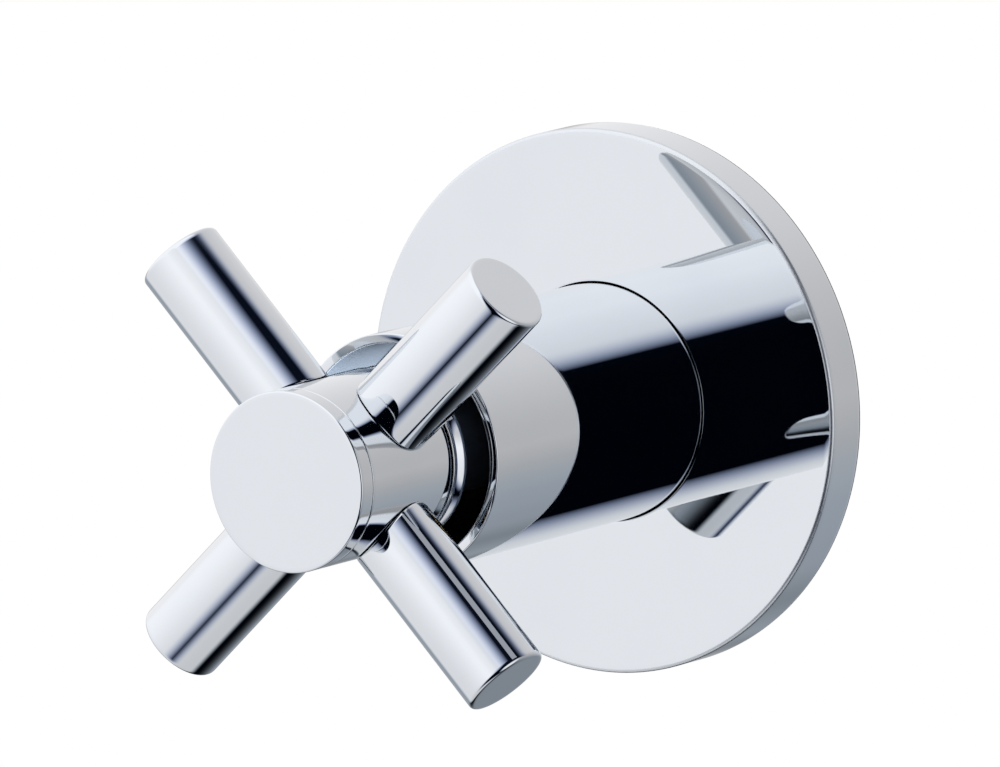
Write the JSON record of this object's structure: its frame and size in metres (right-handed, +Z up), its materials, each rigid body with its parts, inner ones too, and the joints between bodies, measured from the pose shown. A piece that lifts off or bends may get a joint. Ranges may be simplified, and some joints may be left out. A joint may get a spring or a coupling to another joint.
{
  "type": "concealed stop valve",
  "caption": "Wall-mounted concealed stop valve: cross handle on a quarter-turn ceramic cartridge, sleeve and round wall plate, with a brass body set in the wall.",
  "frame": {"origin": "where the spindle's axis meets the finished wall, in the plane of the wall plate's back rim", "axes": "+Y into the wall along the spindle, away from the handle; +Z up, towards the outlet port; +X to the right as seen from the room"},
  "size_m": [0.065, 0.1166, 0.065],
  "materials": {
    "chrome": "bright chrome plate, mirror polished",
    "brass": "turned brass, fine lathe marks",
    "nickel": "dull nickel plate on turned brass",
    "cast_brass": "sand-cast brass, matt, with machined faces",
    "rubber": "moulded black rubber",
    "foam": "closed-cell foam",
    "fibre": "red fibre sheet, matt",
    "ceramic": "lapped alumina, satin",
    "ptfe": "white slippery plastic",
    "steel": "plain stainless steel"
  },
  "bodies": {
    "valve": {"wall_plate": "chrome", "plate_gasket": "foam", "plate_o_ring": "rubber", "sleeve": "chrome", "sleeve_bush": "brass", "valve_body": "cast_brass", "body_washer": "fibre", "cartridge_housing": "brass", "slip_washer": "ptfe", "fixed_disc": "ceramic", "disc_seal": "rubber"},
    "handle": {"moving_disc": "ceramic", "spindle": "brass", "spindle_o_rings": "rubber", "spindle_circlip": "steel", "extension_rod": "nickel", "handle_screw": "steel", "handle_hub": "chrome", "hub_rings": "chrome", "hub_cap": "chrome", "bar_upper_right": "chrome", "bar_upper_left": "chrome", "bar_lower_left": "chrome", "bar_lower_right": "chrome"}
  },
  "joints": [
    {"name": "handle_turn", "type": "hinge", "parent": "valve", "child": "handle", "pos_m": [0, 0, 0], "axis": [0, -1, 0], "range_deg": [0, 90]}
  ]
}
